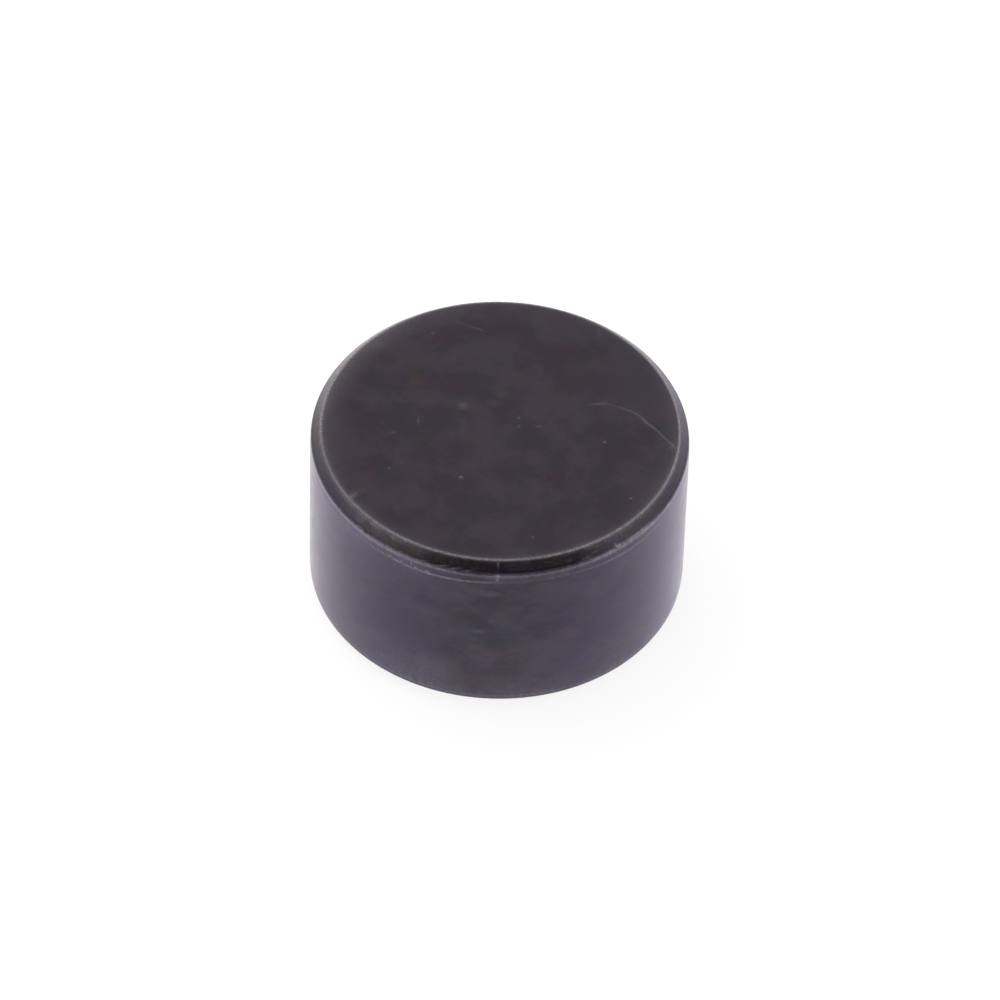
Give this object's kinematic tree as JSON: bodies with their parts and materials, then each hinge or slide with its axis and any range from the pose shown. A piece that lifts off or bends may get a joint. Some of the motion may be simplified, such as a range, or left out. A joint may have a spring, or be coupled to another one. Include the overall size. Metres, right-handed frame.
{
  "type": "valve shim",
  "caption": "Solid round valve clearance shim of hardened steel, with lapped faces, a ground outside wall and a chamfered lead-in at both ends.",
  "frame": {"origin": "centre of the lower face, on the shim's axis", "axes": "+Z along the shim's axis, from the lower face to the upper face; the shim is round, so +X and +Y are any two directions across it"},
  "size_m": [0.0074, 0.0074, 0.004],
  "materials": {
    "valve_shim": "dark oxide over ground and lapped hardened steel, with the edges worn to bare metal"
  },
  "bodies": {
    "root": {"valve_shim": "valve_shim"}
  },
  "joints": []
}
